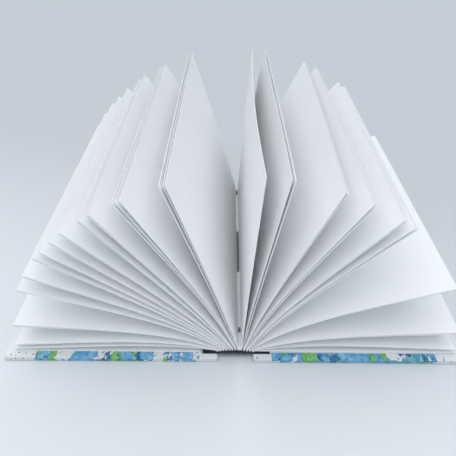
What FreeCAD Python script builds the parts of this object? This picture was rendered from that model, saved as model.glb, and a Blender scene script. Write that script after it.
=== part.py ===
"""Open book: sewn pages fanned upright, two paper-covered boards lying flat, a cloth strip between them.

The book is seen as it lies: X runs across the spread, Y from the tail of the pages to their head, Z up.
The origin is on the table, midway between the boards and halfway up the pages. Lengths are millimetres,
angles are degrees.
"""
import FreeCAD
import Part

import math
import os

import Sketcher

doc = FreeCAD.newDocument("open_book")

# Driving dimensions
DIMENSIONS = [
    ("leaf_width", 102.0),
    ("leaf_height", 148.0),
    ("leaf_thickness", 0.28),
    ("section_pitch", 1.5),
    ("fold_depth", 0.45),
    ("fold_root", 0.6),
    ("gutter_floor", 1.6),
    ("board_thickness", 2.2),
    ("board_gap", 18.0),
    ("end_square", 3.95),
    ("fore_edge_square", 4.4),
    ("cover_paper", 0.2),
    ("cover_edge_radius", 0.3),
    ("turn_in", 14.0),
    ("pastedown_thickness", 0.28),
    ("pastedown_margin", 5.0),
    ("cloth_thickness", 0.4),
    ("cloth_flap", 8.4),
    ("cloth_overhang", 0.9),
    ("spine_rise", 1.1),
    ("thread_radius", 0.55),
    ("long_stitch", 37.5),
    ("tail_stitch", 3.0),
    ("tail_stitch_place", 62.0),
    ("head_stitch", 5.0),
    ("head_stitch_place", 65.0),
    ("seat_clearance", 0.05),
    ("leaf_clearance", 0.3),
    ("least_leaf_gap", 0.06),
]

sheet = doc.addObject("Spreadsheet::Sheet", "Sizes")
for row, (alias, value) in enumerate(DIMENSIONS, start=1):
    sheet.set("A%d" % row, alias)
    sheet.set("B%d" % row, str(value))
    sheet.setAlias("B%d" % row, alias)
doc.recompute()


def size(alias):
    return float(sheet.get(alias))


# The fan, from the gutter outwards on each side: how many leaves lie together, how far their
# straight line from fold to tip leans from upright, how much they bend on the way, and the
# lean between one leaf of the group and the next; the outermost leaves, whose lean is None,
# lie down on the boards
LEFT_FAN = [
    (3, 17.1, 5.0, 0.6),
    (3, 27.7, 13.0, 1.0),
    (2, 34.5, 9.0, 0.25),
    (2, 37.4, 9.0, 0.25),
    (2, 42.9, 11.0, 0.25),
    (2, 46.8, 10.0, 0.25),
    (2, 50.6, 14.0, 0.25),
    (2, 53.3, 15.0, 0.25),
    (2, 60.2, 22.0, 0.3),
    (2, 65.7, 25.0, 0.3),
    (3, 79.9, 27.0, 0.3),
    (3, 87.9, 24.0, 0.4),
    (1, None, 16.0, 0.0),
    (1, None, 15.0, 0.0),
]
RIGHT_FAN = [
    (1, 3.4, 1.0, 0.0),
    (2, 9.0, 3.0, 0.6),
    (2, 20.9, 10.0, 0.3),
    (2, 27.5, 15.0, 0.7),
    (2, 35.4, 16.0, 0.25),
    (2, 38.8, 17.0, 0.5),
    (2, 63.2, 29.0, 0.3),
    (2, 81.5, 22.0, 0.3),
    (2, 89.0, 17.0, 0.5),
    (1, None, 10.0, 0.0),
]
LEAVES_PER_SECTION = 4
# A leaf bends as a strip does under its own weight; this share of its bend is its mean along the way
MEAN_BEND = 0.75
# Where the arcs of a leaf's face start, pass and end, as shares of the way to the tip
ARC_SHARES = [0.0, 0.1, 0.22, 0.36, 0.54, 0.76, 1.0]
STEPS_PER_LEAF = 400


# Heights and places that the pieces share
def board_top():
    """Height of the covered board's upper face."""
    return size("board_thickness") + 2 * size("cover_paper")


def half_gap():
    return size("board_gap") / 2


def arch_radius():
    """Radius of the cloth's arch, which spans the gap and rises by spine_rise."""
    return (half_gap() ** 2 + size("spine_rise") ** 2) / (2 * size("spine_rise"))


def cloth_top(x):
    """Height of the cloth strip's upper face, which is arched between the boards."""
    flat = board_top() + size("cloth_thickness")
    if abs(x) >= half_gap():
        return flat
    radius = arch_radius()
    return flat + size("spine_rise") - radius + math.sqrt(radius ** 2 - x ** 2)


# Pages
def fan_leaves():
    """Lean, bend and group spread of every leaf, from the left board round to the right one."""
    leaves = []
    for side, fan in ((-1, LEFT_FAN), (1, RIGHT_FAN)):
        half = []
        for count, lean, bend, spread in fan:
            for number in range(count):
                offset = (number - (count - 1) / 2) * spread
                half.append((side, None if lean is None else lean + offset, bend))
        leaves += reversed(half) if side < 0 else half
    return leaves


def section_centres(leaves):
    """X of each folded section; the one that lies open is wider by its gutter floor."""
    pitch = size("section_pitch")
    sections = len(leaves) // LEAVES_PER_SECTION
    left_leaves = sum(1 for leaf in leaves if leaf[0] < 0)
    open_section = left_leaves // LEAVES_PER_SECTION
    total = sections * pitch + size("gutter_floor") - size("leaf_thickness")
    centres = []
    edge = -total / 2
    for number in range(sections):
        width = pitch
        if number == open_section:
            width += size("gutter_floor") - size("leaf_thickness")
        centres.append((edge + width / 2, width))
        edge += width
    return centres, open_section


class Leaf:
    """One leaf: a strip that rises from its fold and bends outwards, most of all near the fold."""

    def __init__(self, base_x, side, lean, bend, rest_height=None):
        self.side = side
        self.width = size("leaf_width")
        self.half = size("leaf_thickness") / 2
        self.base = (base_x, cloth_top(base_x) + size("seat_clearance") + size("fold_root"))
        if lean is None:
            drop = (self.base[1] - rest_height) / self.width
            lean = 90 + math.degrees(math.asin(drop))
        self.start = side * math.radians(lean - MEAN_BEND * bend)
        self.bend = side * math.radians(bend)
        self.middle = [self.base]
        step = self.width / STEPS_PER_LEAF
        for number in range(STEPS_PER_LEAF):
            angle = self.lean_at((number + 0.5) / STEPS_PER_LEAF)
            x, z = self.middle[-1]
            self.middle.append((x + step * math.sin(angle), z + step * math.cos(angle)))

    def lean_at(self, share):
        """Lean of the leaf at a share of its width."""
        return self.start + self.bend * (1 - (1 - share) ** 3)

    def face_point(self, step, hand):
        """A point of the right (hand 1) or left (hand -1) face."""
        angle = self.lean_at(step / STEPS_PER_LEAF)
        x, z = self.middle[step]
        return (x + hand * self.half * math.cos(angle), z - hand * self.half * math.sin(angle))

    def face_arcs(self, first_step, hand):
        """The face from a step near the fold out to the tip: arcs that grow flatter and flatter."""
        points = []
        for share in ARC_SHARES:
            x, z = self.face_point(round(first_step + share * (STEPS_PER_LEAF - first_step)), hand)
            points.append(FreeCAD.Vector(x, 0, z))
        arcs = []
        for start in range(0, len(points) - 1, 2):
            arcs.append(Part.Arc(*points[start:start + 3]).toShape())
        return arcs, points[0], points[-1]


def parting_step(left, right):
    """The step at which two neighbouring leaves part, going out from their folds."""
    least_step = round(size("fold_root") / size("leaf_width") * STEPS_PER_LEAF)
    step = STEPS_PER_LEAF
    while step > least_step:
        x1, z1 = left.face_point(step - 1, 1)
        x2, z2 = right.face_point(step - 1, -1)
        share = (step - 1) / STEPS_PER_LEAF
        lean = (left.lean_at(share) + right.lean_at(share)) / 2
        apart = (x2 - x1) * math.cos(lean) - (z2 - z1) * math.sin(lean)
        if apart < size("least_leaf_gap"):
            break
        step -= 1
    if step == STEPS_PER_LEAF:
        raise ValueError("two leaves never part: give their group more spread")
    return step


def build_leaves():
    specs = fan_leaves()
    centres, open_section = section_centres(specs)
    thickness = size("leaf_thickness")
    lowest = board_top() + size("pastedown_thickness") + size("leaf_clearance") + thickness / 2
    leaves = []
    for number, (side, lean, bend) in enumerate(specs):
        section = number // LEAVES_PER_SECTION
        place = number % LEAVES_PER_SECTION - (LEAVES_PER_SECTION - 1) / 2
        base_x = centres[section][0] + place * thickness
        if section == open_section:
            base_x += math.copysign(size("gutter_floor") / 2, place)
        leaves_below = number if side < 0 else len(specs) - 1 - number
        rest_height = lowest + leaves_below * (thickness + 2 * size("least_leaf_gap"))
        leaves.append(Leaf(base_x, side, lean, bend, rest_height))
    return leaves, centres


def pages_profile(leaves, centres):
    """The tail edge of all the leaves: one closed outline, leaf by leaf over the top and fold by fold back."""
    edges = []
    end_step = round(size("section_pitch") / size("leaf_width") * STEPS_PER_LEAF)
    partings = [end_step]
    partings += [parting_step(leaves[i], leaves[i + 1]) for i in range(len(leaves) - 1)]
    partings.append(end_step)
    last_point = None
    for number, leaf in enumerate(leaves):
        rising, left_root, left_tip = leaf.face_arcs(partings[number], -1)
        falling, right_root, right_tip = leaf.face_arcs(partings[number + 1], 1)
        if last_point is None:
            first_point = left_root
        else:
            edges.append(Part.LineSegment(last_point, left_root).toShape())
        edges += rising
        edges.append(Part.LineSegment(left_tip, right_tip).toShape())
        edges += reversed(falling)
        last_point = right_root

    seat = size("seat_clearance")
    valleys = []
    for x in [centre - width / 2 for centre, width in centres] + [centres[-1][0] + centres[-1][1] / 2]:
        valleys.append(FreeCAD.Vector(x, 0, cloth_top(x) + seat + size("fold_depth")))
    edges.append(Part.LineSegment(last_point, valleys[-1]).toShape())
    for number in reversed(range(len(centres))):
        x = centres[number][0]
        bottom = FreeCAD.Vector(x, 0, cloth_top(x) + seat)
        edges.append(Part.Arc(valleys[number + 1], bottom, valleys[number]).toShape())
    edges.append(Part.LineSegment(valleys[0], first_point).toShape())
    return Part.Wire(edges)


leaves, centres = build_leaves()
tail_edges = Part.Face(pages_profile(leaves, centres))
pages = doc.addObject("Part::Feature", "Pages")
pages.Label = "pages"
pages.Shape = tail_edges.extrude(FreeCAD.Vector(0, size("leaf_height"), 0))
pages.Placement.Base = FreeCAD.Vector(0, -size("leaf_height") / 2, 0)


# Sketches on a body's own origin planes
def origin_plane(body, role):
    return [feature for feature in body.Origin.OriginFeatures if feature.Role == role][0]


def new_sketch(body, name, role):
    sketch = body.newObject("Sketcher::SketchObject", name)
    sketch.AttachmentSupport = [(origin_plane(body, role), "")]
    sketch.MapMode = "FlatFace"
    return sketch


def pin_point(sketch, geometry, point, across, up):
    """Ties a point of a sketch to distances from the sketch's origin, given as expressions."""
    for kind, expression in (("DistanceX", across), ("DistanceY", up)):
        where = sketch.getPoint(geometry, point)
        start = where.x if kind == "DistanceX" else where.y
        index = sketch.addConstraint(Sketcher.Constraint(kind, -1, 1, geometry, point, start))
        sketch.setExpression("Constraints[%d]" % index, expression)


def outline(sketch, corners):
    """A closed run of straight lines through corners given as ((x, y), (x expression, y expression))."""
    count = len(corners)
    for number in range(count):
        here = corners[number][0]
        there = corners[(number + 1) % count][0]
        sketch.addGeometry(Part.LineSegment(FreeCAD.Vector(*here, 0), FreeCAD.Vector(*there, 0)))
    for number in range(count):
        sketch.addConstraint(Sketcher.Constraint("Coincident", number, 2, (number + 1) % count, 1))
    for number in range(count):
        pin_point(sketch, number, 1, *corners[number][1])


# Boards: grey board cut square, one each side of the gap
INNER_EDGE = "Sizes.board_gap / 2 + Sizes.cover_paper"
OUTER_EDGE = "Sizes.board_gap / 2 + Sizes.leaf_width + Sizes.fore_edge_square - Sizes.cover_paper"
BOARD_END = "Sizes.leaf_height / 2 + Sizes.end_square - Sizes.cover_paper"


def make_board(side, label):
    sign = "" if side > 0 else "-1 * "
    inner = side * (half_gap() + size("cover_paper"))
    outer = side * (half_gap() + size("leaf_width") + size("fore_edge_square") - size("cover_paper"))
    end = size("leaf_height") / 2 + size("end_square") - size("cover_paper")
    near_x = "%s(%s)" % (sign, INNER_EDGE)
    far_x = "%s(%s)" % (sign, OUTER_EDGE)
    low_y = "-1 * (%s)" % BOARD_END
    body = doc.addObject("PartDesign::Body", "Body_" + label)
    body.Label = label
    sketch = new_sketch(body, "Outline_" + label, "XY_Plane")
    outline(sketch, [
        ((inner, -end), (near_x, low_y)),
        ((outer, -end), (far_x, low_y)),
        ((outer, end), (far_x, BOARD_END)),
        ((inner, end), (near_x, BOARD_END)),
    ])
    sketch.AttachmentOffset = FreeCAD.Placement(FreeCAD.Vector(0, 0, size("cover_paper")), FreeCAD.Rotation())
    sketch.setExpression("AttachmentOffset.Base.z", "Sizes.cover_paper")
    pad = body.newObject("PartDesign::Pad", "Thickness_" + label)
    pad.Profile = sketch
    pad.setExpression("Length", "Sizes.board_thickness")
    body.Tip = pad
    return body


left_board = make_board(-1, "left_board")
right_board = make_board(1, "right_board")


# Cover paper: one sheet round the outside of a board, over its four edges and turned in on top
def make_block(name, low, span):
    """A block from its lowest corner and its lengths, each given as an expression."""
    block_object = doc.addObject("Part::Box", name)
    for axis, expression in zip("xyz", low):
        block_object.setExpression("Placement.Base." + axis, expression)
    for edge, expression in zip(("Length", "Width", "Height"), span):
        block_object.setExpression(edge, expression)
    return block_object


def cut(name, base, tool):
    result = doc.addObject("Part::Cut", name)
    result.Base = base
    result.Tool = tool
    return result


COVER_WIDTH = "(Sizes.leaf_width + Sizes.fore_edge_square)"
COVER_LENGTH = "(Sizes.leaf_height + 2 * Sizes.end_square)"
COVER_HEIGHT = "(Sizes.board_thickness + 2 * Sizes.cover_paper)"


def mirrored_start(side, near, width):
    """X of a block's low corner, when it begins at near from the middle on the given side."""
    return near if side > 0 else "-1 * (%s) - (%s)" % (near, width)


def make_cover_paper(side, label):
    near = "Sizes.board_gap / 2"
    outside = make_block(
        "Outside_" + label,
        (mirrored_start(side, near, COVER_WIDTH), "-%s / 2" % COVER_LENGTH, "0"),
        (COVER_WIDTH, COVER_LENGTH, COVER_HEIGHT))
    doc.recompute()
    rounded = doc.addObject("Part::Fillet", "Rounded_" + label)
    rounded.Base = outside
    radius = size("cover_edge_radius")
    rounded.Edges = [(number, radius, radius) for number in range(1, 13)]
    board_width = "(%s - 2 * Sizes.cover_paper)" % COVER_WIDTH
    board_space = make_block(
        "Board_space_" + label,
        (mirrored_start(side, near + " + Sizes.cover_paper", board_width),
         "-(%s - 2 * Sizes.cover_paper) / 2" % COVER_LENGTH,
         "Sizes.cover_paper"),
        (board_width, "%s - 2 * Sizes.cover_paper" % COVER_LENGTH, "Sizes.board_thickness"))
    window_width = "(%s - 2 * Sizes.turn_in)" % COVER_WIDTH
    window = make_block(
        "Window_" + label,
        (mirrored_start(side, near + " + Sizes.turn_in", window_width),
         "-(%s - 2 * Sizes.turn_in) / 2" % COVER_LENGTH,
         "Sizes.cover_paper + Sizes.board_thickness / 2"),
        (window_width, "%s - 2 * Sizes.turn_in" % COVER_LENGTH, "Sizes.board_thickness"))
    wrap = cut("Wrap_" + label, rounded, board_space)
    paper = cut("Paper_" + label, wrap, window)
    paper.Label = label
    return paper


left_cover_paper = make_cover_paper(-1, "left_cover_paper")
right_cover_paper = make_cover_paper(1, "right_cover_paper")


# Pastedowns: the sheet glued inside each cover, up to the cloth, sunk between the turn-ins
PASTE_NEAR = "Sizes.board_gap / 2 + Sizes.cloth_flap + Sizes.leaf_clearance"
PASTE_WIDTH = ("(Sizes.leaf_width + Sizes.fore_edge_square - Sizes.pastedown_margin"
               " - Sizes.cloth_flap - Sizes.leaf_clearance)")


def make_pastedown(side, label):
    sheet_block = make_block(
        "Sheet_" + label,
        (mirrored_start(side, PASTE_NEAR, PASTE_WIDTH), "-Sizes.leaf_height / 2", COVER_HEIGHT),
        (PASTE_WIDTH, "Sizes.leaf_height", "Sizes.pastedown_thickness"))
    window_near = "Sizes.board_gap / 2 + Sizes.turn_in"
    window_width = "(%s - 2 * Sizes.turn_in)" % COVER_WIDTH
    window_length = "(%s - 2 * Sizes.turn_in)" % COVER_LENGTH
    sunk = make_block(
        "Sunk_" + label,
        (mirrored_start(side, window_near, window_width),
         "-%s / 2" % window_length,
         "Sizes.cover_paper + Sizes.board_thickness"),
        (window_width, window_length, "Sizes.pastedown_thickness"))
    hollow_near = window_near + " + Sizes.pastedown_thickness"
    hollow_width = "(%s - 2 * Sizes.pastedown_thickness)" % window_width
    hollow_length = "(%s - 2 * Sizes.pastedown_thickness)" % window_length
    hollow = make_block(
        "Hollow_" + label,
        (mirrored_start(side, hollow_near, hollow_width),
         "-%s / 2" % hollow_length,
         "Sizes.cover_paper + Sizes.board_thickness + Sizes.pastedown_thickness"),
        (hollow_width, hollow_length, "Sizes.pastedown_thickness"))
    joined = doc.addObject("Part::Fuse", "Joined_" + label)
    joined.Base = sheet_block
    joined.Tool = sunk
    pastedown = cut("Pastedown_" + label, joined, hollow)
    pastedown.Label = label
    return pastedown


left_pastedown = make_pastedown(-1, "left_pastedown")
right_pastedown = make_pastedown(1, "right_pastedown")


# Spine cloth: a strip glued to the folds, arched between the boards, its flaps glued on the boards
CLOTH_INNER = "Sizes.board_gap / 2"
CLOTH_OUTER = "Sizes.board_gap / 2 + Sizes.cloth_flap"
CLOTH_HIGH = COVER_HEIGHT + " + Sizes.cloth_thickness"
ARCH_RADIUS = "((Sizes.board_gap / 2) ^ 2 + Sizes.spine_rise ^ 2) / (2 * Sizes.spine_rise)"


def make_spine_cloth():
    body = doc.addObject("PartDesign::Body", "Body_spine_cloth")
    body.Label = "spine_cloth"
    sketch = new_sketch(body, "Section_spine_cloth", "XZ_Plane")
    inner = half_gap()
    outer = inner + size("cloth_flap")
    low = board_top()
    high = low + size("cloth_thickness")
    ends = [(-outer, low), (-inner, low), (inner, low), (outer, low),
            (outer, high), (inner, high), (-inner, high), (-outer, high)]
    points = [FreeCAD.Vector(x, z, 0) for x, z in ends]
    for first in (0, 2, 3, 4, 6, 7):
        sketch.addGeometry(Part.LineSegment(points[first], points[(first + 1) % 8]))
    for height in (low, high):
        crown = FreeCAD.Vector(0, height + size("spine_rise"), 0)
        sketch.addGeometry(Part.Arc(FreeCAD.Vector(inner, height, 0), crown, FreeCAD.Vector(-inner, height, 0)))
    under, over = 6, 7
    for one, one_end, other, other_end in (
            (0, 2, under, 2), (under, 1, 1, 1), (1, 2, 2, 1), (2, 2, 3, 1),
            (3, 2, over, 1), (over, 2, 4, 1), (4, 2, 5, 1), (5, 2, 0, 1)):
        sketch.addConstraint(Sketcher.Constraint("Coincident", one, one_end, other, other_end))
    minus = "-1 * (%s)"
    pin_point(sketch, 0, 1, minus % CLOTH_OUTER, COVER_HEIGHT)
    pin_point(sketch, 0, 2, minus % CLOTH_INNER, COVER_HEIGHT)
    pin_point(sketch, 1, 1, CLOTH_INNER, COVER_HEIGHT)
    pin_point(sketch, 1, 2, CLOTH_OUTER, COVER_HEIGHT)
    pin_point(sketch, 3, 1, CLOTH_OUTER, CLOTH_HIGH)
    pin_point(sketch, 3, 2, CLOTH_INNER, CLOTH_HIGH)
    pin_point(sketch, 4, 1, minus % CLOTH_INNER, CLOTH_HIGH)
    pin_point(sketch, 4, 2, minus % CLOTH_OUTER, CLOTH_HIGH)
    for arc in (under, over):
        index = sketch.addConstraint(Sketcher.Constraint("Radius", arc, arch_radius()))
        sketch.setExpression("Constraints[%d]" % index, ARCH_RADIUS)
    pad = body.newObject("PartDesign::Pad", "Length_spine_cloth")
    pad.Profile = sketch
    pad.SideType = "Symmetric"
    pad.setExpression("Length", "Sizes.leaf_height + 2 * Sizes.cloth_overhang")
    body.Tip = pad
    return body


spine_cloth = make_spine_cloth()


# Sewing thread: the stitches that show in the fold of the section lying open
def make_sewing_thread():
    gutter = [number for number in range(len(leaves) - 1) if leaves[number].side < leaves[number + 1].side][0]
    step = parting_step(leaves[gutter], leaves[gutter + 1])
    left_x, left_z = leaves[gutter].face_point(step, 1)
    right_x, right_z = leaves[gutter + 1].face_point(step, -1)
    x = (left_x + right_x) / 2
    z = max(left_z, right_z) + size("seat_clearance")
    stitches = []
    for name, middle, length in (
            ("Stitch_tail", "-1 * Sizes.tail_stitch_place", "Sizes.tail_stitch"),
            ("Stitch_middle", "0", "Sizes.long_stitch"),
            ("Stitch_head", "Sizes.head_stitch_place", "Sizes.head_stitch")):
        stitch = doc.addObject("Part::Cylinder", name)
        stitch.Angle = 180
        stitch.setExpression("Radius", "Sizes.thread_radius")
        stitch.setExpression("Height", length)
        stitch.Placement = FreeCAD.Placement(
            FreeCAD.Vector(x, 0, z), FreeCAD.Rotation(FreeCAD.Vector(1, 0, 0), 90))
        stitch.setExpression("Placement.Base.y", "%s + %s / 2" % (middle, length))
        stitches.append(stitch)
    thread = doc.addObject("Part::Compound", "Thread")
    thread.Label = "sewing_thread"
    thread.Links = stitches
    return thread


sewing_thread = make_sewing_thread()

doc.recompute()
for item in doc.Objects:
    if "Invalid" in item.State or "Error" in item.State:
        raise RuntimeError("%s did not rebuild: %s" % (item.Label, item.State))

pieces = [pages, left_board, right_board, left_cover_paper, right_cover_paper,
          left_pastedown, right_pastedown, spine_cloth, sewing_thread]
for piece in pieces:
    if piece.Shape.isNull() or not piece.Shape.isValid():
        raise RuntimeError("%s has no sound shape" % piece.Label)

os.makedirs("parts", exist_ok=True)
for piece in pieces:
    piece.Shape.exportStep("parts/%s.step" % piece.Label)
    box = piece.Shape.BoundBox
    print("%-18s solids %d  volume %9.1f  x %.2f..%.2f  y %.2f..%.2f  z %.2f..%.2f" % (
        piece.Label, len(piece.Shape.Solids), piece.Shape.Volume,
        box.XMin, box.XMax, box.YMin, box.YMax, box.ZMin, box.ZMax))
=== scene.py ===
"""Open book: a small hand-sewn notebook lying open on its covers, its thick leaves fanned upright.

Metres, in the book's own frame: X across the spread, Y from the tail of the pages to their head,
Z up, with the origin on the table, midway between the two boards and halfway up the pages.
"""
import math
import random

import bpy
from mathutils import Matrix, Vector


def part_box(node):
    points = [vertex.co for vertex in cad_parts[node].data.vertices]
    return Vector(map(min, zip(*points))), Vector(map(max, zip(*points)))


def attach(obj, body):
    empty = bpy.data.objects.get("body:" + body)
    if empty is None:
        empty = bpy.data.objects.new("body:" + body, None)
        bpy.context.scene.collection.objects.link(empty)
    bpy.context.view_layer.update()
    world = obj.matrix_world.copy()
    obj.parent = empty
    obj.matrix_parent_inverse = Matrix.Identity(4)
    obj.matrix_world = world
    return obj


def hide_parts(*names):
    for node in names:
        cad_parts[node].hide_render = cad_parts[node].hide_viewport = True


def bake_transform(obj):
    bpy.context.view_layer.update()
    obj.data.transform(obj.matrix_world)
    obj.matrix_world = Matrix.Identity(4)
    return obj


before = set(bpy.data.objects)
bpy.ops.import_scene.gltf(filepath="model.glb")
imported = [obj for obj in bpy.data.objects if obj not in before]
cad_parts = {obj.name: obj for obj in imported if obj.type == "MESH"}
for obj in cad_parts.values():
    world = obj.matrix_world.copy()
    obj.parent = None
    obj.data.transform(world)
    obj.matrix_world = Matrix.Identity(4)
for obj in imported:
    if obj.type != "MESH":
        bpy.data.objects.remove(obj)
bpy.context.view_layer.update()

MM = 0.001


# ---------------------------------------------------------------------------------------------
# Sheets. Twelve sections of thick uncoated drawing paper, each of two sheets folded once and
# nested, 48 leaves of 102 x 148 mm in all. They are sewn through their folds, and stand fanned
# out from the one that lies open, springing more where more of their own weight pulls on them.
LEAF_WIDTH = 102 * MM
LEAF_HEIGHT = 148 * MM
SHEET = 0.28 * MM
SECTIONS = 12
SECTION_PITCH = 1.5 * MM
OPEN_SECTION = 7
LEAVES_IN_SECTION = 4
MIDDLE_PLACE = (LEAVES_IN_SECTION - 1) / 2
GUTTER_FLOOR = 1.6 * MM
FOLD_ROOT = 0.6 * MM
FOLD_PRESS = 0.8
SEAT = 3.05 * MM
SPINE_RISE = 1.1 * MM
HALF_GAP = 9 * MM
LOWEST_LEAF = 3.32 * MM
LEAF_STEP = 0.4 * MM
HEAD_SPREAD = 0.12

# From the gutter out on each side: leaves that lie together, their lean from upright, their bend
# between fold and tip, the lean from one to the next, how much more they lean at the head than at
# the tail, and how much more halfway between, all in degrees
LEFT_FAN = [
    (3, 17.0, 5.0, 0.42, -0.3, 0.2),
    (3, 27.7, 13.0, 0.85, -0.7, -0.15),
    (2, 34.5, 9.0, 0.25, -0.4, 0.1),
    (2, 37.4, 9.0, 0.25, -1.0, 0.2),
    (2, 42.9, 11.0, 0.25, -1.0, -0.2),
    (2, 46.8, 10.0, 0.25, -0.2, 0.15),
    (2, 50.6, 14.0, 0.25, -0.7, 0.1),
    (2, 53.3, 15.0, 0.25, 1.5, -0.1),
    (2, 60.2, 22.0, 0.3, 0.3, 0.25),
    (2, 65.7, 25.0, 0.3, -0.2, -0.2),
    (3, 79.9, 27.0, 0.3, 0.2, 0.2),
    (3, 88.1, 24.0, 0.2, -0.3, -0.15),
    (1, None, 16.0, 0.0, 0.0, -0.1),
    (1, None, 15.0, 0.0, 0.0, 0.0),
]
RIGHT_FAN = [
    (1, 3.4, 1.0, 0.0, 0.4, -0.95),
    (2, 8.9, 3.0, 0.36, -1.0, 0.2),
    (2, 20.4, 10.0, 0.3, 1.9, 0.15),
    (2, 27.2, 15.0, 0.35, -0.4, -0.1),
    (2, 35.3, 16.0, 0.25, 1.2, 0.2),
    (2, 38.7, 17.0, 0.28, 0.1, 0.1),
    (2, 63.2, 29.0, 0.3, 1.1, -0.25),
    (2, 81.5, 22.0, 0.3, -0.3, 0.2),
    (2, 88.9, 17.0, 0.17, 0.1, -0.1),
    (1, None, -2.0, 0.0, 0.0, 0.0),
]


def seat_height(x):
    """Height at which the folds rest on the cloth, which is arched between the boards."""
    return SEAT + SPINE_RISE * max(0, 1 - (x / HALF_GAP) ** 2)


def lay_out_leaves():
    """One dictionary a leaf, from the left board round to the right one."""
    leaves = []
    for side, fan in ((-1, LEFT_FAN), (1, RIGHT_FAN)):
        half = []
        for count, lean, bend, spread, turn, bow in fan:
            for number in range(count):
                offset = (number - (count - 1) / 2) * spread
                half.append({"side": side, "lean": lean and lean + offset, "bend": bend,
                             "turn": turn + HEAD_SPREAD * offset, "bow": bow})
        leaves += reversed(half) if side < 0 else half
    extra = GUTTER_FLOOR - SHEET
    start = -(SECTIONS * SECTION_PITCH + extra) / 2
    for number, leaf in enumerate(leaves):
        section, place = divmod(number, LEAVES_IN_SECTION)
        middle = start + (section + 0.5) * SECTION_PITCH
        middle += extra if section > OPEN_SECTION else extra / 2 if section == OPEN_SECTION else 0
        leaf["x"] = middle + (place - MIDDLE_PLACE) * SHEET * FOLD_PRESS
        if section == OPEN_SECTION:
            leaf["x"] += math.copysign(GUTTER_FLOOR / 2, place - MIDDLE_PLACE)
        leaf["z"] = seat_height(leaf["x"]) + FOLD_ROOT
        if leaf["lean"] is None:
            below = number if leaf["side"] < 0 else len(leaves) - 1 - number
            rest = LOWEST_LEAF + below * LEAF_STEP
            leaf["lean"] = 90 + math.degrees(math.asin((leaf["z"] - rest) / LEAF_WIDTH))
    return leaves


# Bend that a leaf has had by halfway out, as a share; the way from its fold over which it comes
# to its lean; the faint waviness of its edge, in degrees, and how fast that changes up the leaf
MEAN_BEND = 0.75
ROLL_OUT = 0.8 * MM
RIPPLE = 0.07
RIPPLE_RATE = 7.0
LINE_STEPS = 6


def leaf_line(leaf, along, shares, ripple):
    """Points of a leaf from its fold to its tip, at a share of the way from tail to head."""
    lean = leaf["lean"] + leaf["turn"] * along + leaf["bow"] * 4 * along * (1 - along)
    lean += RIPPLE * math.sin(ripple + RIPPLE_RATE * along)
    start = lean - MEAN_BEND * leaf["bend"]
    x, z, done = leaf["x"], leaf["z"], 0
    points = []
    for share in shares:
        step = (share - done) / LINE_STEPS
        for number in range(LINE_STEPS):
            here = done + step * (number + 0.5)
            angle = start + leaf["bend"] * (1 - (1 - here) ** 3)
            angle *= min(1, here * LEAF_WIDTH / ROLL_OUT) ** 0.7
            angle = leaf["side"] * math.radians(angle)
            x += step * LEAF_WIDTH * math.sin(angle)
            z += step * LEAF_WIDTH * math.cos(angle)
        done = share
        points.append((x, z))
    return points


FOLD_STEPS = 6
FOLD_RADIUS = 0.42 * MM


def fold_line(left, right, bottom):
    """Points of the fold, down from the left leaf's base, round, and up to the right one's."""
    radius = (right["x"] - left["x"]) / 2
    middle = (left["x"] + right["x"]) / 2
    round_radius = min(radius, FOLD_RADIUS)
    points = []
    for number in range(FOLD_STEPS + 1):
        angle = math.pi * number / FOLD_STEPS
        hand = -1 if number < FOLD_STEPS / 2 else 1 if number > FOLD_STEPS / 2 else 0
        x = middle + hand * (radius - round_radius) - round_radius * math.cos(angle)
        points.append((x, bottom + round_radius - round_radius * math.sin(angle)))
    return points


LEAF_COLUMNS = 22
LEAF_SHARES = [(number / LEAF_COLUMNS) ** 1.35 for number in range(1, LEAF_COLUMNS + 1)]
ROWS = 18
MOST_SHIFT = 0.12


def make_sheet(left, right, bottom, chance):
    """One folded sheet: a flat grid, creased along its middle and bent up into its two leaves."""
    columns = 2 * len(LEAF_SHARES) + FOLD_STEPS + 2
    bpy.ops.object.select_all(action="DESELECT")
    bpy.ops.mesh.primitive_grid_add(x_subdivisions=columns, y_subdivisions=ROWS, size=2)
    sheet = bpy.context.object
    ripple = chance.uniform(0, 6)
    shift = chance.uniform(-MOST_SHIFT, MOST_SHIFT) * MM
    lines = []
    for row in range(ROWS + 1):
        along = row / ROWS
        out = leaf_line(left, along, LEAF_SHARES, ripple)
        back = leaf_line(right, along, LEAF_SHARES, ripple + 1)
        base_left = [(left["x"], left["z"])]
        base_right = [(right["x"], right["z"])]
        lines.append(out[::-1] + base_left + fold_line(left, right, bottom) + base_right + back)
    for vertex in sheet.data.vertices:
        column = round((vertex.co.x + 1) / 2 * columns)
        row = round((vertex.co.y + 1) / 2 * ROWS)
        x, z = lines[row][column]
        vertex.co = (x, (row / ROWS - 0.5) * LEAF_HEIGHT + shift, z)
    return sheet


# Heights of the folds' middles over the cloth: an outer sheet, an inner one, the one that lies open
OUTER_FOLD = 0.14 * MM
INNER_FOLD = 0.42 * MM
OPEN_FOLD = 1.05 * MM

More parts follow.
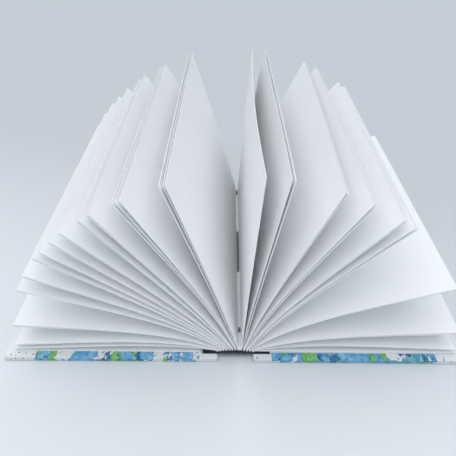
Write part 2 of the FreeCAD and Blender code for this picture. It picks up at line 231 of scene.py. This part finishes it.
leaves = lay_out_leaves()
chance = random.Random(12)
sheets = []
for section in range(SECTIONS):
    start = section * LEAVES_IN_SECTION
    first, second, third, fourth = leaves[start:start + LEAVES_IN_SECTION]
    seat = seat_height((first["x"] + fourth["x"]) / 2)
    inner_fold = OPEN_FOLD if section == OPEN_SECTION else INNER_FOLD
    sheets.append(make_sheet(first, fourth, seat + OUTER_FOLD, chance))
    sheets.append(make_sheet(second, third, seat + inner_fold, chance))
bpy.ops.object.select_all(action="DESELECT")
for sheet in sheets:
    sheet.select_set(True)
bpy.context.view_layer.objects.active = sheets[0]
bpy.ops.object.join()
book_sheets = bpy.context.object
book_sheets.name = "sewn_sheets"
book_sheets.data.name = "sewn_sheets"
thickness = book_sheets.modifiers.new("paper", "SOLIDIFY")
thickness.thickness = SHEET
thickness.offset = 0
thickness.material_offset_rim = 1
bpy.ops.object.modifier_apply(modifier="paper")
bpy.ops.object.shade_smooth_by_angle(angle=math.radians(35))


class Shade:
    """A socket of a material. Sums, products and comparisons on it add Math nodes."""

    def __init__(self, tree, socket):
        self.tree = tree
        self.socket = socket

    def node(self, kind, settings, sockets, out=0):
        """Any other node: its settings first, then values or links for its sockets."""
        node = self.tree.nodes.new(kind)
        for name, value in settings.items():
            if name == "stops":
                elements = node.color_ramp.elements
                while len(elements) < len(value):
                    elements.new(1)
                for element, (place, colour) in zip(elements, value):
                    element.position = place
                    element.color = (*colour, 1)
            else:
                setattr(node, name, value)
        for name, value in sockets.items():
            if isinstance(value, Shade):
                self.tree.links.new(value.socket, node.inputs[name])
            else:
                node.inputs[name].default_value = value
        return Shade(self.tree, node.outputs[out])

    def maths(self, operation, first, second=0.0):
        return self.node("ShaderNodeMath", {"operation": operation}, {0: first, 1: second})

    def __add__(self, other):
        return self.maths("ADD", self, other)

    def __sub__(self, other):
        return self.maths("SUBTRACT", self, other)

    def __rsub__(self, other):
        return self.maths("SUBTRACT", other, self)

    def __mul__(self, other):
        return self.maths("MULTIPLY", self, other)

    __radd__ = __add__
    __rmul__ = __mul__

    def part(self, axis):
        """The X, Y or Z of a place, as 0, 1 or 2."""
        return self.node("ShaderNodeSeparateXYZ", {}, {"Vector": self}, axis)

    def ramp(self, low, high):
        """0 up to low, 1 from high on, and a smooth rise between them."""
        return self.node("ShaderNodeMapRange", {"interpolation_type": "SMOOTHSTEP"},
                         {"Value": self, "From Min": low, "From Max": high})

    def noise(self, grain, detail=2.0, rough=0.5, seed=0.0):
        """Cloudy noise whose patches are about one grain wide, in metres, and its mean is 0.5."""
        return self.node("ShaderNodeTexNoise", {"noise_dimensions": "4D"},
                         {"Vector": self, "W": seed, "Scale": 1 / grain, "Detail": detail,
                          "Roughness": rough})

    def mix(self, low, high):
        """A colour between two, as this goes from 0 to 1."""
        low = low if isinstance(low, Shade) else (*low, 1)
        high = high if isinstance(high, Shade) else (*high, 1)
        return self.node("ShaderNodeMix", {"data_type": "RGBA"}, {0: self, 6: low, 7: high}, 2)

    def into(self, shader, name):
        self.tree.links.new(self.socket, shader.inputs[name])

    def bump(self, shader, depth, strength=1.0):
        """Raises the surface by up to depth, in metres, where this is 1."""
        normal = self.node("ShaderNodeBump", {},
                           {"Height": self, "Distance": depth, "Strength": strength})
        normal.into(shader, "Normal")


def start_material(name):
    """A new material, its shader, and the place of each point on the object, in metres."""
    material = bpy.data.materials.new(name)
    material.use_nodes = True
    tree = material.node_tree
    shader = tree.nodes["Principled BSDF"]
    place = Shade(tree, tree.nodes.new("ShaderNodeTexCoord").outputs["Object"])
    return material, shader, place


def drawing_paper(name, dark, light, tooth):
    """Uncoated paper: cloudy where its fibres lie thicker, with a fine tooth."""
    material, shader, place = start_material(name)
    cloud = place.noise(9 * MM, 3.0, 0.55)
    fibre = place.noise(0.7 * MM, 3.0, 0.6, 4.0)
    (cloud * 0.55 + fibre * 0.45).ramp(0.3, 0.7).mix(dark, light).into(shader, "Base Color")
    (fibre * 0.12 + 0.44).into(shader, "Roughness")
    (fibre + cloud * 0.5).bump(shader, tooth, 0.5)
    shader.inputs["Diffuse Roughness"].default_value = 1.0
    return material


page_paper = drawing_paper("page_paper", (0.93, 0.942, 0.957), (0.96, 0.968, 0.978), 0.04 * MM)
# The leaves' cut edges get a darker copy of the page paper: painted shade on the edges, standing in
# for how the light falls on them.
edge_painted_shade = drawing_paper("page_edge_painted_shade", (0.83, 0.845, 0.865), (0.88, 0.895, 0.91), 0.08 * MM)
book_sheets.data.materials.append(page_paper)
book_sheets.data.materials.append(edge_painted_shade)
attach(book_sheets, "text_block")
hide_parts("pages")


# ---------------------------------------------------------------------------------------------
# Sewing thread. Green waxed linen of three twisted plies, seen as one long stitch and two short
# ones along the fold that lies open. Each stitch dives into its two holes in the paper.
THREAD_RADIUS = 0.55 * MM
PLY_PITCH = 2.2 * MM
thread_low, thread_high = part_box("sewing_thread")
thread_x = (thread_low.x + thread_high.x) / 2
STITCHES = [(-62 * MM, 3 * MM), (0, 37.5 * MM), (65 * MM, 5 * MM)]
THREAD_SIDES = 18
RING_PITCH = 0.25 * MM
PLY_GROOVE = 0.28
DIVE_DEPTH = 0.5 * MM
DIVE_LENGTH = 0.8 * MM

stitches = []
for middle, length in STITCHES:
    rings = round(length / RING_PITCH)
    bpy.ops.object.select_all(action="DESELECT")
    bpy.ops.mesh.primitive_grid_add(x_subdivisions=THREAD_SIDES, y_subdivisions=rings, size=2)
    stitch = bpy.context.object
    for vertex in stitch.data.vertices:
        turn = round((vertex.co.x + 1) / 2 * THREAD_SIDES) / THREAD_SIDES * math.tau
        along = (vertex.co.y + 1) / 2
        y = middle + (along - 0.5) * length
        lobe = abs(math.cos(1.5 * turn))
        radius = THREAD_RADIUS * (1 - PLY_GROOVE + PLY_GROOVE * lobe)
        angle = turn + y / PLY_PITCH * math.tau
        end = min(along, 1 - along) * length
        dive = DIVE_DEPTH * max(0, 1 - end / DIVE_LENGTH) ** 2
        vertex.co = (thread_x + radius * math.cos(angle), y,
                     thread_low.z + THREAD_RADIUS * 0.8 - dive + radius * math.sin(angle))
    bpy.ops.object.mode_set(mode="EDIT")
    bpy.ops.mesh.select_all(action="SELECT")
    bpy.ops.mesh.remove_doubles(threshold=0.00001)
    bpy.ops.mesh.select_all(action="DESELECT")
    bpy.ops.mesh.select_non_manifold()
    bpy.ops.mesh.edge_face_add()
    bpy.ops.mesh.select_all(action="SELECT")
    bpy.ops.mesh.normals_make_consistent(inside=False)
    bpy.ops.object.mode_set(mode="OBJECT")
    stitches.append(stitch)
bpy.ops.object.select_all(action="DESELECT")
for stitch in stitches:
    stitch.select_set(True)
bpy.context.view_layer.objects.active = stitches[0]
bpy.ops.object.join()
thread = bpy.context.object
thread.name = "green_thread"
thread.data.name = "green_thread"
bpy.ops.object.shade_smooth_by_angle(angle=math.radians(50))

waxed_thread, shader, place = start_material("waxed_thread")
fuzz = place.noise(0.12 * MM, 2.0, 0.6)
fuzz.ramp(0.3, 0.75).mix((0.08, 0.15, 0.12), (0.20, 0.30, 0.25)).into(shader, "Base Color")
(fuzz * 0.25 + 0.42).into(shader, "Roughness")
fuzz.bump(shader, 0.03 * MM, 0.6)
shader.inputs["Sheen Weight"].default_value = 0.3
thread.data.materials.append(waxed_thread)
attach(thread, "text_block")
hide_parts("sewing_thread")


# ---------------------------------------------------------------------------------------------
# Spine cloth. One strip of navy book cloth, a plain weave on thin paper, glued over the folds and
# turned out onto the two boards, and turned under at both ends between them. It is made in two
# halves that meet under the middle fold.
cloth_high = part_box("spine_cloth")[1]
CLOTH = 0.4 * MM
CLOTH_FLAT = 2.6 * MM
CLOTH_COLUMNS = 64
CLOTH_ROWS = 40
FOLD_RIDGE = 0.05 * MM
FRAY = 0.06 * MM
FRAY_PITCH = 2.3 * MM
TURN_UNDER = 9 * MM
TURN_UNDER_THICKNESS = 0.7 * MM
TURN_UNDER_REACH = HALF_GAP - CLOTH_FLAT - 0.1 * MM
TURN_UNDER_TAPER = 1.5 * MM
LEFT_TRIM = 0.9 * MM


def cloth_height(x):
    """Underside of the strip: flat on a board, arched in the gap, a faint ridge at each section."""
    inside = max(0, 1 - (x / HALF_GAP) ** 2)
    ridge = FOLD_RIDGE * math.cos(x / SECTION_PITCH * math.tau) * min(1, inside * 4)
    return CLOTH_FLAT + SPINE_RISE * inside + ridge


def make_cloth_half(side):
    bpy.ops.object.select_all(action="DESELECT")
    bpy.ops.mesh.primitive_grid_add(x_subdivisions=CLOTH_COLUMNS, y_subdivisions=CLOTH_ROWS, size=2)
    half = bpy.context.object
    half.name = "cloth_left" if side < 0 else "cloth_right"
    half.data.name = half.name
    reach = cloth_high.x - (LEFT_TRIM if side < 0 else 0)
    for vertex in half.data.vertices:
        x = (vertex.co.x * side + 1) / 2 * reach
        y = vertex.co.y * cloth_high.y
        x -= FRAY * (1 + math.sin(y / FRAY_PITCH)) * max(0, x / reach * 20 - 19)
        vertex.co = (side * x, y, cloth_height(x) + CLOTH / 2)
    strip = half.modifiers.new("cloth", "SOLIDIFY")
    strip.thickness = CLOTH
    strip.offset = 0
    bpy.ops.object.modifier_apply(modifier="cloth")
    for vertex in half.data.vertices:
        x, y, z = vertex.co
        if z < cloth_height(x) + CLOTH / 2:
            from_end = (cloth_high.y - abs(y)) / TURN_UNDER
            from_board = (TURN_UNDER_REACH - abs(x)) / TURN_UNDER_TAPER
            vertex.co.z -= TURN_UNDER_THICKNESS * max(0, min(1, 4 * (1 - from_end), from_board))
    bpy.ops.object.shade_smooth_by_angle(angle=math.radians(40))
    for loop, uv in zip(half.data.loops, half.data.uv_layers[0].data):
        place = half.data.vertices[loop.vertex_index].co
        uv.uv = (place.x, place.y)
    return half


book_cloth, shader, place = start_material("book_cloth")
uv = place.node("ShaderNodeUVMap", {}, {})
CLOTH_THREAD = 0.36 * MM
across = uv.part(0) * (math.tau / CLOTH_THREAD)
along = uv.part(1) * (math.tau / CLOTH_THREAD)
warp = place.maths("SINE", across)
weft = place.maths("SINE", along)
weave = warp * weft * 0.5 + 0.5
slub = uv.noise(2.5 * MM, 3.0, 0.6)
# The cloth is darker where the weave dips and where the slubs run low.
weave_and_slub_tone = (weave * 0.5 + slub * 0.6).ramp(0.2, 0.9)
weave_and_slub_tone.mix((0.005, 0.007, 0.018), (0.018, 0.025, 0.055)).into(shader, "Base Color")
(slub * 0.2 + 0.72).into(shader, "Roughness")
weave.bump(shader, 0.06 * MM, 0.8)
shader.inputs["Sheen Weight"].default_value = 0.25
for side, cover in ((-1, "left_cover"), (1, "right_cover")):
    half = make_cloth_half(side)
    half.data.materials.append(book_cloth)
    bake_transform(half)
    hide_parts("spine_cloth")


# ---------------------------------------------------------------------------------------------
# Boards. Raw grey board inside each cover, made from mixed waste paper and pressed smooth. The
# cover paper and the end paper hide it altogether.
grey_board, shader, place = start_material("grey_board")
pulp = place.noise(1.2 * MM, 4.0, 0.65)
flecks = place.noise(0.5 * MM, 1.0, 0.4, 3.0).ramp(0.66, 0.7)
pulp.mix((0.46, 0.45, 0.43), (0.62, 0.61, 0.58)).into(shader, "Base Color")
(pulp * 0.1 + flecks * 0.05 + 0.8).into(shader, "Roughness")
pulp.bump(shader, 0.05 * MM, 0.5)
for node in ("left_board", "right_board"):
    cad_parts[node].data.materials.clear()
    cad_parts[node].data.materials.append(grey_board)


# ---------------------------------------------------------------------------------------------
# Cover paper. A printed sheet with a satin face, glued round each board and turned in over its
# four edges: white, with loose washes of blue and green across the middle and dark specks.
WASH_START = 18.5 * MM
WASH_END = 100 * MM
WASH_EDGE = 0.4 * MM
SPECK_PITCH = 1.9 * MM

cover_paper, shader, place = start_material("cover_paper")
wander = place.noise(26 * MM, 2.0, 0.5, 2.0)
drift = place.node("ShaderNodeCombineXYZ", {}, {
    0: place.part(0) + wander * (9 * MM), 1: place.part(1) * 0.55, 2: place.part(2) * 0.8})
ragged = (place.noise(7 * MM, 3.0, 0.6, 5.0) - 0.5) * (5 * MM)
distance = place.maths("ABSOLUTE", place.part(0)) + ragged
printed = distance.ramp(WASH_START - WASH_EDGE, WASH_START)
printed = printed * (1 - distance.ramp(WASH_END, WASH_END + WASH_EDGE))
paper_white = place.noise(14 * MM, 2.0, 0.5, 9.0).mix((0.76, 0.79, 0.82), (0.82, 0.845, 0.865))
wash = paper_white
for seed, patch, level, pale, deep in (
        (11.0, 8 * MM, 0.475, (0.32, 0.62, 0.83), (0.05, 0.29, 0.60)),
        (23.0, 6.5 * MM, 0.54, (0.40, 0.72, 0.76), (0.04, 0.32, 0.42)),
        (37.0, 6 * MM, 0.565, (0.38, 0.70, 0.24), (0.08, 0.42, 0.08)),
        (51.0, 4.5 * MM, 0.60, (0.10, 0.30, 0.60), (0.015, 0.09, 0.30))):
    cloud = drift.noise(patch, 2.5, 0.5, seed)
    pooled = (cloud.ramp(level, level + 0.02) * (1 - cloud.ramp(level + 0.01, level + 0.05))) * 0.55
    depth = drift.noise(patch * 0.4, 3.0, 0.6, seed + 1) + pooled
    wash = cloud.ramp(level, level + 0.035).mix(wash, depth.ramp(0.25, 0.75).mix(pale, deep))
colour = printed.mix(paper_white, wash)
cells = place.node("ShaderNodeTexVoronoi", {"feature": "F1"},
                   {"Vector": place, "Scale": 1 / SPECK_PITCH})
speck_size = place.noise(4 * MM, 1.0, 0.5, 6.0).ramp(0.34, 0.56) * 0.21
specks = 1 - (cells - speck_size).ramp(-0.02, 0.02)
colour = specks.mix(colour, (0.03, 0.06, 0.09))
colour.into(shader, "Base Color")
grain = place.noise(0.5 * MM, 2.0, 0.5, 8.0)
(grain * 0.12 + 0.38).into(shader, "Roughness")
(grain * 0.6 + place.noise(6 * MM, 2.0, 0.5, 1.0)).bump(shader, 0.03 * MM, 0.35)
shader.inputs["Specular IOR Level"].default_value = 0.4
for node in ("left_cover_paper", "right_cover_paper"):
    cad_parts[node].data.materials.clear()
    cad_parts[node].data.materials.append(cover_paper)


# ---------------------------------------------------------------------------------------------
# Pastedowns. The glued half of each end sheet, of the same paper as the pages, pressed flat
# inside the cover up to the cloth, and sunk between the turned-in edges of the cover paper.
end_paper = drawing_paper("end_paper", (0.93, 0.942, 0.957), (0.96, 0.968, 0.978), 0.03 * MM)
for node in ("left_pastedown", "right_pastedown"):
    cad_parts[node].data.materials.clear()
    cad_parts[node].data.materials.append(end_paper)


# ---------------------------------------------------------------------------------------------
# Floor and light. A pale blue-grey paper sweep, lit by a wide soft light from straight above and
# by a pale even surround. The covers' edges stand a hair off it, as stiff boards do.
bpy.ops.object.select_all(action="DESELECT")
bpy.ops.mesh.primitive_grid_add(x_subdivisions=8, y_subdivisions=60, size=2)
sweep = bpy.context.object
sweep.name = "paper_sweep"
SWEEP_LENGTH = 3.8
SWEEP_HALF_WIDTH = 2.2
SWEEP_FRONT = 1.6
SWEEP_START = 1.1
SWEEP_RADIUS = 0.5
COVER_LIFT = 0.2 * MM
for vertex in sweep.data.vertices:
    run = (vertex.co.y + 1) / 2 * SWEEP_LENGTH
    x, y, z = vertex.co.x * SWEEP_HALF_WIDTH, run - SWEEP_FRONT, -COVER_LIFT
    if y > SWEEP_START:
        angle = min((y - SWEEP_START) / SWEEP_RADIUS, math.pi / 2)
        rise = max(0, y - SWEEP_START - SWEEP_RADIUS * math.pi / 2)
        y = SWEEP_START + SWEEP_RADIUS * math.sin(angle)
        z += SWEEP_RADIUS * (1 - math.cos(angle)) + rise
    vertex.co = (x, y, z)
bpy.ops.object.shade_smooth()
sweep_paper, shader, place = start_material("sweep_paper")
# The sweep darkens towards the back and a little towards the right: painted shade for the light
# falling off across it.
falloff_painted_shade = (place.part(1) + place.part(0) * 0.28).ramp(-0.125, 0.14)
falloff_painted_shade.mix((0.745, 0.785, 0.82), (0.545, 0.585, 0.62)).into(shader, "Base Color")
shader.inputs["Roughness"].default_value = 0.9
sweep.data.materials.append(sweep_paper)

bpy.context.scene.world = bpy.data.worlds.new("studio")
bpy.context.scene.world.use_nodes = True
studio = bpy.context.scene.world.node_tree.nodes["Background"]
studio.inputs["Color"].default_value = (0.93, 0.965, 1.0, 1)
studio.inputs["Strength"].default_value = 0.57
bpy.ops.object.light_add(type="SUN", rotation=(math.radians(-2), math.radians(-4), 0))
lamp = bpy.context.object
lamp.data.energy = 1.6
lamp.data.color = (0.965, 0.985, 1.0)
lamp.data.angle = math.radians(80)


# ---------------------------------------------------------------------------------------------
# Camera. It stands at the tail, a little left of the gutter, and looks down along the spine.
bpy.ops.object.camera_add()
camera = bpy.context.object
camera.data.sensor_width = 36
camera.data.lens = 35.69
camera.data.clip_start = 0.01
PAN, DOWN, ROLL = -0.211, 38.666, 0.684
aim = Matrix.Rotation(math.radians(PAN), 4, "Z")
aim = aim @ Matrix.Rotation(math.radians(90 - DOWN), 4, "X")
aim = aim @ Matrix.Rotation(math.radians(ROLL), 4, "Z")
camera.matrix_world = Matrix.Translation(Vector((-4.9, -213.0, 194.2)) * MM) @ aim
bpy.context.scene.camera = camera
bpy.context.scene.view_settings.view_transform = "Standard"
